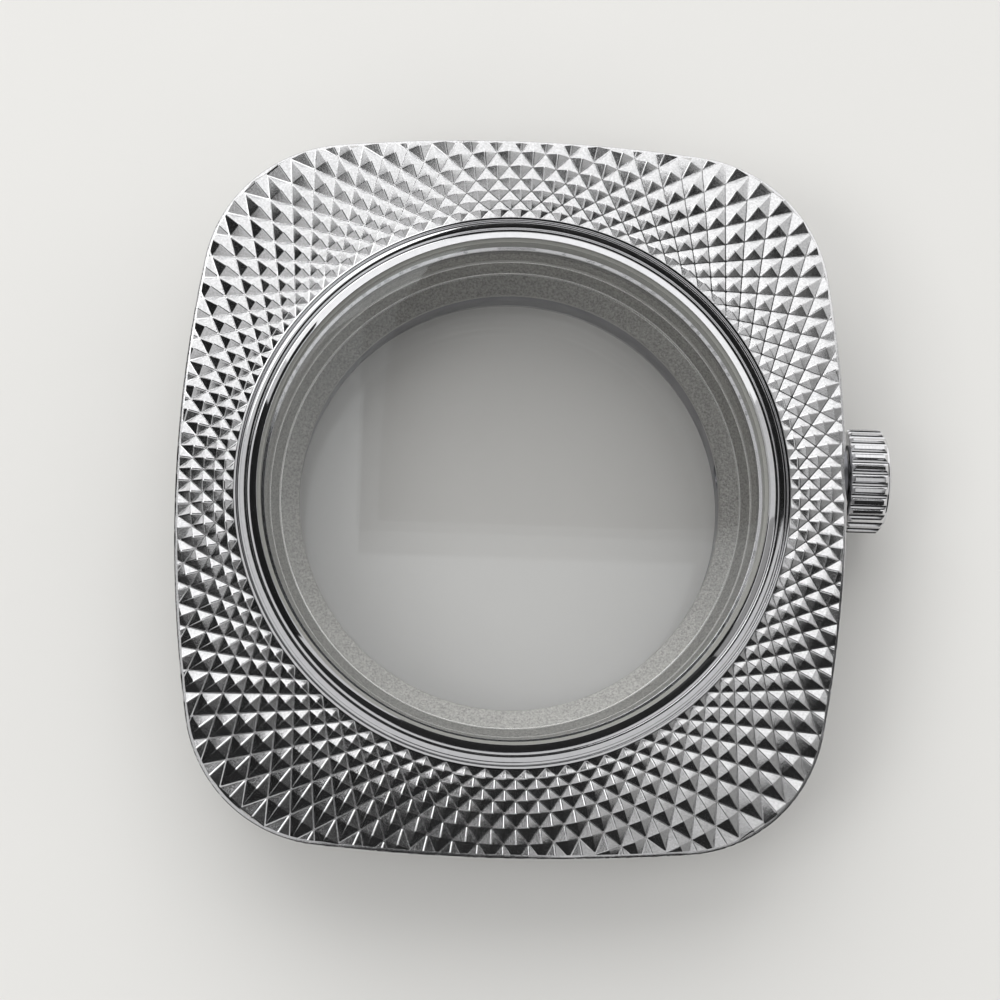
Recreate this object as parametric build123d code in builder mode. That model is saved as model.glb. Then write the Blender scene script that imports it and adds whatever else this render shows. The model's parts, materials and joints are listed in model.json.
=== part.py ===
from build123d import *
from math import acos, ceil, cos, floor, hypot, pi, sin, sqrt
import os

# Empty cushion-shaped watch case, lying on its back.
# Millimetres. The origin is on the case's axis at the back's outer face,
# +Z leaves through the front glass, +Y points to 12 o'clock and +X to the crown's side.

# Cushion outline of the front plate, and the pattern's width beside the ring
bezel_side_width = 3.65
bezel_end_width = 5.35
side_radius = 90.0
end_radius = 128.0
corner_radius = 9.1

# Heights of the stack, from the back upwards
back_flange_thickness = 1.3
back_spigot_height = 1.15
mid_case_height = 7.1
bezel_end_height = 1.4

# Clearances
fit_gap = 0.05
press_gap = 0.02
running_gap = 0.04

# One overrun serves every cut
overrun = 1.0

# Front plate with its engine-turned pyramids
bezel_end_drop = 0.9
bezel_floor = 0.45
rim_width = 0.25
rim_drop = 0.5
rim_round = 0.15
groove_count = 88
groove_tangent_inset = 4.25
facet_slope = 0.6

# Hollow in the rim beside the crown
hollow_radius = 12.0
hollow_depth = 0.2

# Polished stepped ring round the glass
ring_foot_width = 0.9
ring_foot_height = 0.57
bead_width = 0.2
bead_proud = 0.15
ring_groove_width = 0.2
ring_groove_depth = 0.2
band_width = 0.4
band_proud = 0.3
lower_step_width = 0.2
lower_step_drop = 0.1
bevel_width = 0.45
bevel_foot = 0.15
bevel_rise = 0.3
ring_wall_height = 1.1

# Front glass, which the whole case is built round, and its gasket
crystal_radius = 15.65
crystal_edge_height = 1.5
crystal_crown = 0.25
crystal_chamfer = 0.15
crystal_gasket_wall = 0.2
crystal_gasket_height = 1.3
crystal_ledge_width = 0.4

# Bead-blasted inner flange, from its outer edge to the window hole
flange_clamp_width = 0.7
flange_total_height = 2.75
upper_slope_width = 0.25
upper_slope_drop = 0.85
upper_step_drop = 0.25
middle_slope_width = 0.6
middle_slope_drop = 0.75
inner_step_drop = 0.25
lower_slope_width = 1.2
lower_slope_drop = 0.55
flange_seat_width = 1.0
flange_lip_height = 0.4

# Case body
mid_inset = 0.25
foot_height = 2.4
foot_inset = 1.1
back_seat_width = 1.4

# Flat gasket under the stepped ring
bezel_gasket_inset = 0.45
bezel_gasket_width = 0.6
bezel_gasket_height = 0.4

# Screws that hold the front plate from behind
bezel_screw_inset_x = 5.8
bezel_screw_inset_y = 6.1
bezel_screw_radius = 0.6
bezel_screw_head_radius = 1.0
bezel_screw_head_height = 0.8
bezel_screw_clamp = 2.0
bezel_screw_thread = 1.0
bezel_screw_slot_width = 0.25
bezel_screw_slot_depth = 0.35

# Casing ring that seats the movement and the dial
dial_rim_width = 0.55
dial_seat_width = 1.0
dial_seat_depth = 0.5

# Screwed back with its window
back_flange_width = 2.5
back_frame_width = 2.7
back_edge_chamfer = 0.3
back_crystal_seat_width = 0.85
back_crystal_height = 1.2
back_crystal_gasket_wall = 0.23
back_gasket_width = 0.6
back_gasket_height = 0.46
back_screw_count = 4
back_screw_inset = 0.9
back_screw_radius = 0.5
back_screw_head_radius = 0.75
back_screw_head_height = 0.6
back_screw_thread = 1.6
back_screw_slot_width = 0.2
back_screw_slot_depth = 0.25

# Crown, tube and stem on one axis towards 3 o'clock, a little nearer to 12 than the middle
crown_offset = 2.25
stem_drop = 1.75
stem_radius = 0.55
stem_gap = 0.25
stem_groove_depth = 0.12
stem_groove_length = 0.5
tube_radius = 1.3
tube_bore_radius = 0.8
tube_inset = 1.15
tube_collar_radius = 2.3
tube_collar_gap = 0.1
tube_gasket_wall = 0.5
tube_gasket_height = 0.55
crown_gap = 0.7
crown_radius = 3.35
crown_grip_length = 2.35
crown_chamfer = 0.22
crown_cavity_radius = 1.95
crown_cavity_depth = 1.65
flute_count = 28
flute_radius = 0.24
flute_depth = 0.2
crown_gasket_length = 0.45
crown_washer_length = 0.25
crown_cap_radius = 2.9
crown_cap_edge = 0.14
crown_cap_crown = 0.32
crown_cap_spigot_radius = 2.3
crown_cap_spigot_length = 0.18
stem_thread_length = 0.45

# Strap bars in their recesses at 12 and 6 o'clock
strap_width = 20.2
strap_recess_height = 4.3
strap_recess_depth = 1.85
bar_inset = 1.65
bar_rise = 2.0
bar_radius = 0.8
bar_bore_radius = 0.62
bar_end_gap = 0.8
tip_shoulder_length = 2.35
tip_shoulder_gap = 0.15
tip_radius = 0.4
tip_reach = 0.8
tip_travel = 0.85
bar_spring_radius = 0.5
bar_spring_wall = 0.15

# Heights of the seats
mid_bottom = back_flange_thickness
mid_top = mid_bottom + mid_case_height
bezel_height = bezel_end_height + rim_drop + bezel_end_drop
ring_height = mid_top + bezel_height
back_inside = back_flange_thickness + back_spigot_height

# Radii that follow each other from the glass to the case's outline
crystal_seat_radius = crystal_radius + crystal_gasket_wall
lower_step_radius = crystal_seat_radius + bevel_width
band_radius = lower_step_radius + lower_step_width
ring_groove_radius = band_radius + band_width
bead_radius = ring_groove_radius + ring_groove_width
ring_outer_radius = bead_radius + bead_width
ring_foot_radius = ring_outer_radius + ring_foot_width
bezel_bore_radius = ring_outer_radius + fit_gap
groove_tangent_radius = bezel_bore_radius - groove_tangent_inset
case_width = 2 * (bezel_bore_radius + bezel_side_width)
case_length = 2 * (bezel_bore_radius + bezel_end_width)

# Radii that follow each other from the glass to the window
crystal_ledge_radius = crystal_seat_radius - crystal_ledge_width
upper_step_radius = crystal_ledge_radius - upper_slope_width
inner_step_radius = upper_step_radius - middle_slope_width
window_radius = inner_step_radius - lower_slope_width

# Radii of the case body's bores and of what they hold
flange_outer_radius = crystal_ledge_radius + flange_clamp_width
flange_bore_radius = flange_outer_radius + fit_gap
bezel_gasket_inner_radius = flange_bore_radius + bezel_gasket_inset
movement_bore_radius = flange_bore_radius - flange_seat_width
dial_seat_radius = movement_bore_radius - fit_gap - dial_rim_width
movement_seat_radius = dial_seat_radius - dial_seat_width
back_recess_radius = movement_bore_radius + back_seat_width
back_spigot_radius = back_recess_radius - 2 * fit_gap
back_flange_radius = back_spigot_radius + back_flange_width
back_window_radius = back_spigot_radius - back_frame_width
back_crystal_radius = back_window_radius + back_crystal_seat_width
back_screw_circle_radius = back_flange_radius - back_screw_inset
back_screw_turn = 180 / back_screw_count

# Sphere of the dome: it falls by the end drop from the ring to the middle of the ends
dome_centre_depth = (bezel_end_drop**2 + (case_length / 2) ** 2 - bezel_bore_radius**2) / (2 * bezel_end_drop)
bezel_dome_radius = hypot(bezel_bore_radius, dome_centre_depth)

# Heights of the ring's steps and of the glass
bead_height = ring_height + bead_proud
band_height = ring_height + band_proud
lower_step_height = band_height - lower_step_drop
bevel_foot_height = lower_step_height + bevel_foot
bevel_top_height = bevel_foot_height + bevel_rise
crystal_bottom = bevel_top_height - crystal_edge_height - bead_proud
ring_inner_bottom = crystal_bottom - ring_wall_height

# Heights of the inner flange, down from where the ring clamps it
flange_seat = ring_inner_bottom - flange_total_height
upper_step_top = ring_inner_bottom - upper_slope_drop
upper_step_bottom = upper_step_top - upper_step_drop
inner_step_top = upper_step_bottom - middle_slope_drop
inner_step_bottom = inner_step_top - inner_step_drop
window_top = inner_step_bottom - lower_slope_drop
dial_height = flange_seat - flange_lip_height

# Places along the crown's axis
case_side = case_width / 2 - mid_inset
crown_start = case_width / 2 + crown_gap
crown_end = crown_start + crown_grip_length
crown_cavity_end = crown_start + crown_cavity_depth
hollow_wall = case_side - hollow_depth
tube_start = flange_bore_radius + tube_inset
tube_end = crown_cavity_end - fit_gap
stem_start = movement_bore_radius + stem_gap
stem_end = crown_cavity_end + stem_thread_length
stem_height = flange_seat - stem_drop
stem_plane = Plane(origin=(0, crown_offset, stem_height), x_dir=(0, 1, 0), z_dir=(1, 0, 0))
stem_axis = Axis((0, crown_offset, stem_height), (1, 0, 0))

# Places of the strap bars and the front plate's screws
bar_height = mid_bottom + bar_rise
bar_y = case_length / 2 - bar_inset
recess_back = bar_y - strap_recess_depth
screw_x = case_width / 2 - bezel_screw_inset_x
screw_y = case_length / 2 - bezel_screw_inset_y
bezel_screw_spots = [(x, y) for x in (-screw_x, screw_x) for y in (-screw_y, screw_y)]
bezel_screw_seat = mid_top - bezel_screw_clamp

os.makedirs("parts", exist_ok=True)


def dome_height(radius):
    """Height of the front plate's dome at a radius from the axis."""
    return ring_height - dome_centre_depth + sqrt(bezel_dome_radius**2 - radius**2)


def cushion(inset):
    """Cushion outline drawn in by an inset: four large arcs with round corners between them."""
    side_centre = side_radius - case_width / 2
    end_centre = end_radius - case_length / 2
    with BuildSketch() as outline:
        with Locations((-side_centre, 0)):
            Circle(side_radius - inset)
        with Locations((side_centre, 0)):
            Circle(side_radius - inset, mode=Mode.INTERSECT)
        with Locations((0, -end_centre)):
            Circle(end_radius - inset, mode=Mode.INTERSECT)
        with Locations((0, end_centre)):
            Circle(end_radius - inset, mode=Mode.INTERSECT)
        sharp_corners = outline.vertices().filter_by(lambda corner: abs(corner.Y) > corner_radius)
        fillet(sharp_corners, corner_radius - inset)
    return outline.sketch


# Two mirrored sets of straight grooves touch one circle about the axis.
# Where they cross, they lie on rings of equal polar angle, and between four
# crossings stands a pyramid whose four facets reach the dome.
groove_step = 2 * pi / groove_count
relief_reach = hypot(case_width, case_length) / 2


def crossing_radius(ring):
    """Radius of the ring of groove crossings with this number."""
    return groove_tangent_radius / cos(ring * groove_step / 2)


def crossing(ring, index):
    """A point where two grooves cross, as deep as the facets' slope brings it."""
    radius = crossing_radius(ring)
    turn = (index + ring / 2) * groove_step
    spacing = groove_step * sqrt(radius**2 - groove_tangent_radius**2)
    height = dome_height(radius) - facet_slope * spacing / 2
    return Vector(radius * cos(turn), radius * sin(turn), height)


def pyramid_tip(ring, index):
    """The tip of the pyramid that lies astride a ring of crossings."""
    radius = crossing_radius(ring)
    turn = (index + (ring + 1) / 2) * groove_step
    return Vector(radius * cos(turn), radius * sin(turn), dome_height(radius))


def on_base(point):
    """The point at the relief's base below a point of its surface."""
    return Vector(point.X, point.Y, 0)


first_ring = floor(2 * acos(groove_tangent_radius / bezel_bore_radius) / groove_step)
last_ring = ceil(2 * acos(groove_tangent_radius / relief_reach) / groove_step)
relief_faces = []
for ring in range(first_ring, last_ring):
    for index in range(groove_count):
        tip = pyramid_tip(ring, index)
        corners = (
            crossing(ring - 1, index + 1),
            crossing(ring, index + 1),
            crossing(ring + 1, index),
            crossing(ring, index),
        )
        for corner, following in zip(corners, corners[1:] + corners[:1]):
            relief_faces.append(Face(Wire.make_polygon((corner, following, tip))))

# Upright walls and a flat base close the relief
inner_edge = []
outer_edge = []
for index in range(groove_count):
    inner_edge += [crossing(first_ring, index), crossing(first_ring - 1, index + 1)]
    outer_edge += [crossing(last_ring - 1, index), crossing(last_ring, index)]
for edge in (inner_edge, outer_edge):
    for point, following in zip(edge, edge[1:] + edge[:1]):
        wall = (point, following, on_base(following), on_base(point))
        relief_faces.append(Face(Wire.make_polygon(wall)))
base_loops = [Wire.make_polygon([on_base(point) for point in edge]) for edge in (outer_edge, inner_edge)]
relief_faces.append(Face(base_loops[0], base_loops[1:]))
relief_block = Solid(Shell(relief_faces))

# The relief is kept inside the rim, outside the ring and off the screw holes
with BuildPart() as relief:
    add(relief_block)
    with BuildSketch(Plane.XY.offset(mid_top + bezel_floor)):
        add(cushion(rim_width))
        Circle(bezel_bore_radius, mode=Mode.SUBTRACT)
        with Locations((case_width / 2 + hollow_radius - hollow_depth - rim_width, crown_offset)):
            Circle(hollow_radius, mode=Mode.SUBTRACT)
    extrude(amount=bezel_height, mode=Mode.INTERSECT)

with BuildPart() as guilloche_bezel:
    with BuildSketch(Plane.XY.offset(mid_top)):
        add(cushion(0))
    extrude(amount=bezel_height + overrun)
    dome_top = dome_height(0) - rim_drop
    with Locations((0, 0, dome_top - bezel_dome_radius)):
        Sphere(bezel_dome_radius, mode=Mode.INTERSECT)
    dome_edges = guilloche_bezel.faces().filter_by(GeomType.SPHERE).edges()
    pole = Vector(0, 0, dome_top)
    rim_edges = dome_edges.filter_by(lambda edge: edge.distance_to(pole) > bezel_bore_radius)
    fillet(rim_edges, rim_round)
    with BuildSketch(Plane.XY.offset(mid_top)):
        Circle(bezel_bore_radius)
        with Locations((case_width / 2 + hollow_radius - hollow_depth, crown_offset)):
            Circle(hollow_radius)
    extrude(amount=bezel_height + overrun, mode=Mode.SUBTRACT)
    add(relief.part)
    with BuildSketch(Plane.XY.offset(mid_top)):
        Circle(ring_foot_radius + fit_gap)
    extrude(amount=ring_foot_height + fit_gap, mode=Mode.SUBTRACT)
    with BuildSketch(Plane.XY.offset(mid_top)):
        with Locations(*bezel_screw_spots):
            Circle(bezel_screw_radius + press_gap)
    extrude(amount=bezel_screw_thread + fit_gap, mode=Mode.SUBTRACT)
guilloche_bezel.part.label = "guilloche_bezel"
export_step(guilloche_bezel.part, "parts/guilloche_bezel.step")

# Polished ring: foot, bead, groove, band, low step, bevel and the glass's ledge
with BuildPart() as crystal_ring:
    with BuildSketch(Plane.XZ):
        with BuildLine():
            Polyline(
                (flange_bore_radius, mid_top),
                (ring_foot_radius, mid_top),
                (ring_foot_radius, mid_top + ring_foot_height),
                (ring_outer_radius, mid_top + ring_foot_height),
                (ring_outer_radius, bead_height),
                (bead_radius, bead_height),
                (bead_radius, bead_height - ring_groove_depth),
                (ring_groove_radius, bead_height - ring_groove_depth),
                (ring_groove_radius, band_height),
                (band_radius, band_height),
                (band_radius, lower_step_height),
                (lower_step_radius, lower_step_height),
                (lower_step_radius, bevel_foot_height),
                (crystal_seat_radius, bevel_top_height),
                (crystal_seat_radius, crystal_bottom),
                (crystal_ledge_radius, crystal_bottom),
                (crystal_ledge_radius, ring_inner_bottom),
                (flange_bore_radius, ring_inner_bottom),
                close=True,
            )
        make_face()
    revolve(axis=Axis.Z)
crystal_ring.part.label = "crystal_ring"
export_step(crystal_ring.part, "parts/crystal_ring.step")

# Front glass: flat below, a very shallow crown above, chamfered edge
with BuildPart() as front_crystal:
    with BuildSketch(Plane.XZ):
        with BuildLine():
            crystal_edge_top = crystal_bottom + crystal_edge_height
            flat = Polyline(
                (0, crystal_edge_top + crystal_crown),
                (0, crystal_bottom),
                (crystal_radius, crystal_bottom),
                (crystal_radius, crystal_edge_top - crystal_chamfer),
                (crystal_radius - crystal_chamfer, crystal_edge_top),
            )
            top_radius = crystal_radius - crystal_chamfer
            crown_radius_of_curve = (top_radius**2 + crystal_crown**2) / (2 * crystal_crown)
            RadiusArc(flat @ 1, flat @ 0, -crown_radius_of_curve)
        make_face()
    revolve(axis=Axis.Z)
front_crystal.part.label = "front_crystal"
export_step(front_crystal.part, "parts/front_crystal.step")

with BuildPart() as crystal_gasket:
    with BuildSketch(Plane.XY.offset(crystal_bottom)):
        Circle(crystal_seat_radius)
        Circle(crystal_radius, mode=Mode.SUBTRACT)
    extrude(amount=crystal_gasket_height)
crystal_gasket.part.label = "crystal_gasket"
export_step(crystal_gasket.part, "parts/crystal_gasket.step")

# Blasted flange: three slopes with two fine steps fall to the window hole
with BuildPart() as inner_flange:
    with BuildSketch(Plane.XZ):
        with BuildLine():
            Polyline(
                (flange_outer_radius, flange_seat),
                (flange_outer_radius, ring_inner_bottom),
                (crystal_ledge_radius, ring_inner_bottom),
                (upper_step_radius, upper_step_top),
                (upper_step_radius, upper_step_bottom),
                (inner_step_radius, inner_step_top),
                (inner_step_radius, inner_step_bottom),
                (window_radius, window_top),
                (window_radius, dial_height),
                (movement_bore_radius - fit_gap, dial_height),
                (movement_bore_radius - fit_gap, flange_seat),
                close=True,
            )
        make_face()
    revolve(axis=Axis.Z)
inner_flange.part.label = "inner_flange"
export_step(inner_flange.part, "parts/inner_flange.step")

# Case body: upright sides over a foot that draws in towards the back
with BuildPart() as mid_case:
    with BuildSketch(Plane.XY.offset(mid_bottom + foot_height)):
        add(cushion(mid_inset))
    extrude(amount=mid_case_height - foot_height)
    with BuildSketch(Plane.XY.offset(mid_bottom)):
        add(cushion(mid_inset + foot_inset))
    with BuildSketch(Plane.XY.offset(mid_bottom + foot_height)):
        add(cushion(mid_inset))
    loft(ruled=True)
    with BuildSketch(Plane.XY.offset(mid_bottom)):
        with Locations((hollow_wall + hollow_radius, crown_offset)):
            Circle(hollow_radius)
    extrude(amount=mid_case_height, mode=Mode.SUBTRACT)
    # Bore for the movement, seats for flange, ring gasket and back
    with BuildSketch(Plane.XZ):
        with BuildLine():
            Polyline(
                (0, mid_bottom),
                (back_recess_radius + back_gasket_width + 2 * fit_gap, mid_bottom),
                (back_recess_radius + back_gasket_width + 2 * fit_gap, mid_bottom + back_gasket_height),
                (back_recess_radius, mid_bottom + back_gasket_height),
                (back_recess_radius, back_inside + fit_gap),
                (movement_bore_radius, back_inside + fit_gap),
                (movement_bore_radius, flange_seat),
                (flange_bore_radius, flange_seat),
                (flange_bore_radius, mid_top),
                (0, mid_top),
                close=True,
            )
        make_face()
    revolve(axis=Axis.Z, mode=Mode.SUBTRACT)
    with BuildSketch(Plane.XY.offset(mid_top)):
        Circle(bezel_gasket_inner_radius + bezel_gasket_width + fit_gap)
        Circle(bezel_gasket_inner_radius - fit_gap, mode=Mode.SUBTRACT)
    extrude(amount=-bezel_gasket_height, mode=Mode.SUBTRACT)
    # Stepped holes for the front plate's screws
    with BuildSketch(Plane.XY.offset(mid_bottom)):
        with Locations(*bezel_screw_spots):
            Circle(bezel_screw_head_radius + fit_gap)
    extrude(amount=bezel_screw_seat - mid_bottom, mode=Mode.SUBTRACT)
    with BuildSketch(Plane.XY.offset(bezel_screw_seat)):
        with Locations(*bezel_screw_spots):
            Circle(bezel_screw_radius + fit_gap)
    extrude(amount=bezel_screw_clamp, mode=Mode.SUBTRACT)
    # Threaded holes for the back's screws
    with BuildSketch(Plane.XY.offset(mid_bottom)):
        with PolarLocations(back_screw_circle_radius, back_screw_count, back_screw_turn):
            Circle(back_screw_radius + press_gap)
    extrude(amount=back_screw_thread + fit_gap, mode=Mode.SUBTRACT)
    # Bores for stem, tube and tube gasket, and a flat seat for the tube's collar
    with BuildSketch(stem_plane):
        Circle(tube_bore_radius)
    extrude(amount=case_side, mode=Mode.SUBTRACT)
    with BuildSketch(stem_plane.offset(tube_start)):
        Circle(tube_radius + press_gap)
    extrude(amount=hollow_wall - tube_start, mode=Mode.SUBTRACT)
    with BuildSketch(stem_plane.offset(hollow_wall - tube_gasket_height)):
        Circle(tube_radius + tube_gasket_wall + fit_gap)
    extrude(amount=tube_gasket_height, mode=Mode.SUBTRACT)
    with BuildSketch(stem_plane.offset(hollow_wall)):
        Circle(tube_collar_radius + fit_gap)
    extrude(amount=hollow_depth + overrun, mode=Mode.SUBTRACT)
    # Strap recesses with holes for the bars' tips
    for end in (-1, 1):
        with BuildSketch(Plane.XY.offset(mid_bottom)):
            with Locations((0, end * (recess_back + corner_radius / 2))):
                Rectangle(strap_width, corner_radius)
        extrude(amount=strap_recess_height, mode=Mode.SUBTRACT)
        with BuildSketch(Plane.YZ.offset(-strap_width / 2 - tip_reach - tip_shoulder_gap)):
            with Locations((end * bar_y, bar_height)):
                Circle(tip_radius + fit_gap)
        extrude(amount=strap_width + 2 * (tip_reach + tip_shoulder_gap), mode=Mode.SUBTRACT)
mid_case.part.label = "mid_case"
export_step(mid_case.part, "parts/mid_case.step")

with BuildPart() as bezel_gasket:
    with BuildSketch(Plane.XY.offset(mid_top - bezel_gasket_height)):
        Circle(bezel_gasket_inner_radius + bezel_gasket_width)
        Circle(bezel_gasket_inner_radius, mode=Mode.SUBTRACT)
    extrude(amount=bezel_gasket_height)
bezel_gasket.part.label = "bezel_gasket"
export_step(bezel_gasket.part, "parts/bezel_gasket.step")

# Four slotted screws reach up into the front plate
with BuildPart() as bezel_screws:
    with BuildSketch(Plane.XY.offset(bezel_screw_seat)):
        with Locations(*bezel_screw_spots):
            Circle(bezel_screw_head_radius)
    extrude(amount=-bezel_screw_head_height)
    with BuildSketch(Plane.XY.offset(bezel_screw_seat)):
        with Locations(*bezel_screw_spots):
            Circle(bezel_screw_radius)
    extrude(amount=bezel_screw_clamp + bezel_screw_thread)
    with BuildSketch(Plane.XY.offset(bezel_screw_seat - bezel_screw_head_height)):
        with Locations(*bezel_screw_spots):
            Rectangle(2 * bezel_screw_head_radius, bezel_screw_slot_width)
    extrude(amount=bezel_screw_slot_depth, mode=Mode.SUBTRACT)
bezel_screws.part.label = "bezel_screws"
export_step(bezel_screws.part, "parts/bezel_screws.step")

# Casing ring: the movement goes into its bore, the dial into its upper recess
with BuildPart() as movement_ring:
    with BuildSketch(Plane.XY.offset(back_inside + fit_gap)):
        Circle(movement_bore_radius - fit_gap)
        Circle(movement_seat_radius, mode=Mode.SUBTRACT)
    extrude(amount=dial_height - back_inside - fit_gap)
    with BuildSketch(Plane.XY.offset(dial_height)):
        Circle(dial_seat_radius)
    extrude(amount=-dial_seat_depth, mode=Mode.SUBTRACT)
    with BuildSketch(stem_plane):
        Circle(tube_bore_radius)
    extrude(amount=movement_bore_radius, mode=Mode.SUBTRACT)
movement_ring.part.label = "movement_ring"
export_step(movement_ring.part, "parts/movement_ring.step")

# Back: a flange under the case body and a spigot inside it, with a glass flush in its outer face
with BuildPart() as caseback_ring:
    with BuildSketch():
        Circle(back_flange_radius)
    extrude(amount=back_flange_thickness)
    chamfer(caseback_ring.faces().sort_by(Axis.Z)[0].edges(), back_edge_chamfer)
    with BuildSketch(Plane.XY.offset(back_flange_thickness)):
        Circle(back_spigot_radius)
    extrude(amount=back_spigot_height)
    with BuildSketch():
        Circle(back_window_radius)
    extrude(amount=back_inside, mode=Mode.SUBTRACT)
    with BuildSketch():
        Circle(back_crystal_radius + back_crystal_gasket_wall)
    extrude(amount=back_crystal_height, mode=Mode.SUBTRACT)
    with BuildSketch():
        with PolarLocations(back_screw_circle_radius, back_screw_count, back_screw_turn):
            Circle(back_screw_head_radius + fit_gap)
    extrude(amount=back_screw_head_height + fit_gap, mode=Mode.SUBTRACT)
    with BuildSketch():
        with PolarLocations(back_screw_circle_radius, back_screw_count, back_screw_turn):
            Circle(back_screw_radius + fit_gap)
    extrude(amount=back_flange_thickness, mode=Mode.SUBTRACT)
caseback_ring.part.label = "caseback_ring"
export_step(caseback_ring.part, "parts/caseback_ring.step")

with BuildPart() as back_crystal:
    with BuildSketch():
        Circle(back_crystal_radius)
    extrude(amount=back_crystal_height)
    chamfer(back_crystal.edges(), crystal_chamfer)
back_crystal.part.label = "back_crystal"
export_step(back_crystal.part, "parts/back_crystal.step")

with BuildPart() as back_crystal_gasket:
    with BuildSketch():
        Circle(back_crystal_radius + back_crystal_gasket_wall)
        Circle(back_crystal_radius, mode=Mode.SUBTRACT)
    extrude(amount=back_crystal_height)
back_crystal_gasket.part.label = "back_crystal_gasket"
export_step(back_crystal_gasket.part, "parts/back_crystal_gasket.step")

with BuildPart() as caseback_gasket:
    with BuildSketch(Plane.XY.offset(mid_bottom)):
        Circle(back_recess_radius + back_gasket_width)
        Circle(back_recess_radius, mode=Mode.SUBTRACT)
    extrude(amount=back_gasket_height - fit_gap)
caseback_gasket.part.label = "caseback_gasket"
export_step(caseback_gasket.part, "parts/caseback_gasket.step")

# Identical slotted screws, flush with the back
with BuildPart() as caseback_screws:
    with BuildSketch(Plane.XY.offset(fit_gap)):
        with PolarLocations(back_screw_circle_radius, back_screw_count, back_screw_turn):
            Circle(back_screw_head_radius)
    extrude(amount=back_screw_head_height)
    with BuildSketch(Plane.XY.offset(fit_gap)):
        with PolarLocations(back_screw_circle_radius, back_screw_count, back_screw_turn):
            Circle(back_screw_radius)
    extrude(amount=back_flange_thickness + back_screw_thread - fit_gap)
    with BuildSketch(Plane.XY.offset(fit_gap)):
        with PolarLocations(back_screw_circle_radius, back_screw_count, back_screw_turn):
            Rectangle(2 * back_screw_head_radius, back_screw_slot_width)
    extrude(amount=back_screw_slot_depth, mode=Mode.SUBTRACT)
caseback_screws.part.label = "caseback_screws"
export_step(caseback_screws.part, "parts/caseback_screws.step")

# Tube for the crown, with a collar that stands on the case body's side
with BuildPart() as crown_tube:
    with BuildSketch(stem_plane.offset(tube_start)):
        Circle(tube_radius)
    extrude(amount=tube_end - tube_start)
    with BuildSketch(stem_plane.offset(hollow_wall)):
        Circle(tube_collar_radius)
    extrude(amount=crown_start - tube_collar_gap - hollow_wall)
    with BuildSketch(stem_plane.offset(tube_start)):
        Circle(tube_bore_radius)
    extrude(amount=tube_end - tube_start, mode=Mode.SUBTRACT)
crown_tube.part.label = "crown_tube"
export_step(crown_tube.part, "parts/crown_tube.step")

with BuildPart() as crown_tube_gasket:
    with BuildSketch(stem_plane.offset(hollow_wall - tube_gasket_height)):
        Circle(tube_radius + tube_gasket_wall)
        Circle(tube_radius + press_gap, mode=Mode.SUBTRACT)
    extrude(amount=tube_gasket_height)
crown_tube_gasket.part.label = "crown_tube_gasket"
export_step(crown_tube_gasket.part, "parts/crown_tube_gasket.step")

# Crown: a chamfered drum with round flutes, a cavity over the tube and a stem hole
with BuildPart() as crown_shell:
    with BuildSketch(stem_plane.offset(crown_start)):
        Circle(crown_radius)
    extrude(amount=crown_grip_length)
    chamfer(crown_shell.edges().filter_by(GeomType.CIRCLE), crown_chamfer)
    with BuildSketch(stem_plane.offset(crown_start)):
        with PolarLocations(crown_radius + flute_radius - flute_depth, flute_count):
            Circle(flute_radius)
    extrude(amount=crown_grip_length, mode=Mode.SUBTRACT)
    with BuildSketch(stem_plane.offset(crown_start)):
        Circle(crown_cavity_radius)
    extrude(amount=crown_cavity_depth, mode=Mode.SUBTRACT)
    with BuildSketch(stem_plane.offset(crown_cavity_end)):
        Circle(stem_radius + press_gap)
    extrude(amount=stem_thread_length, mode=Mode.SUBTRACT)
    with BuildSketch(stem_plane.offset(crown_end)):
        Circle(crown_cap_spigot_radius + press_gap)
    extrude(amount=-crown_cap_spigot_length, mode=Mode.SUBTRACT)
crown_shell.part.label = "crown_shell"
export_step(crown_shell.part, "parts/crown_shell.step")

# Domed cap with a spigot in the crown's end
with BuildPart() as crown_cap:
    with BuildSketch(Plane.XZ.offset(-crown_offset)):
        with BuildLine():
            cap_outline = Polyline(
                (crown_end + crown_cap_edge + crown_cap_crown, stem_height),
                (crown_end - crown_cap_spigot_length, stem_height),
                (crown_end - crown_cap_spigot_length, stem_height + crown_cap_spigot_radius),
                (crown_end, stem_height + crown_cap_spigot_radius),
                (crown_end, stem_height + crown_cap_radius),
                (crown_end + crown_cap_edge, stem_height + crown_cap_radius),
            )
            cap_curve = (crown_cap_radius**2 + crown_cap_crown**2) / (2 * crown_cap_crown)
            RadiusArc(cap_outline @ 1, cap_outline @ 0, cap_curve)
        make_face()
    revolve(axis=stem_axis)
crown_cap.part.label = "crown_cap"
export_step(crown_cap.part, "parts/crown_cap.step")

# Ring seal in the crown, with its washer at the crown's mouth
with BuildPart() as crown_gasket:
    with BuildSketch(stem_plane.offset(crown_start + crown_washer_length + running_gap)):
        Circle(crown_cavity_radius - running_gap)
        Circle(tube_radius + running_gap, mode=Mode.SUBTRACT)
    extrude(amount=crown_gasket_length)
crown_gasket.part.label = "crown_gasket"
export_step(crown_gasket.part, "parts/crown_gasket.step")

with BuildPart() as crown_washer:
    with BuildSketch(stem_plane.offset(crown_start)):
        Circle(crown_cavity_radius - press_gap)
        Circle(tube_radius + 2 * running_gap, mode=Mode.SUBTRACT)
    extrude(amount=crown_washer_length)
crown_washer.part.label = "crown_washer"
export_step(crown_washer.part, "parts/crown_washer.step")

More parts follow.
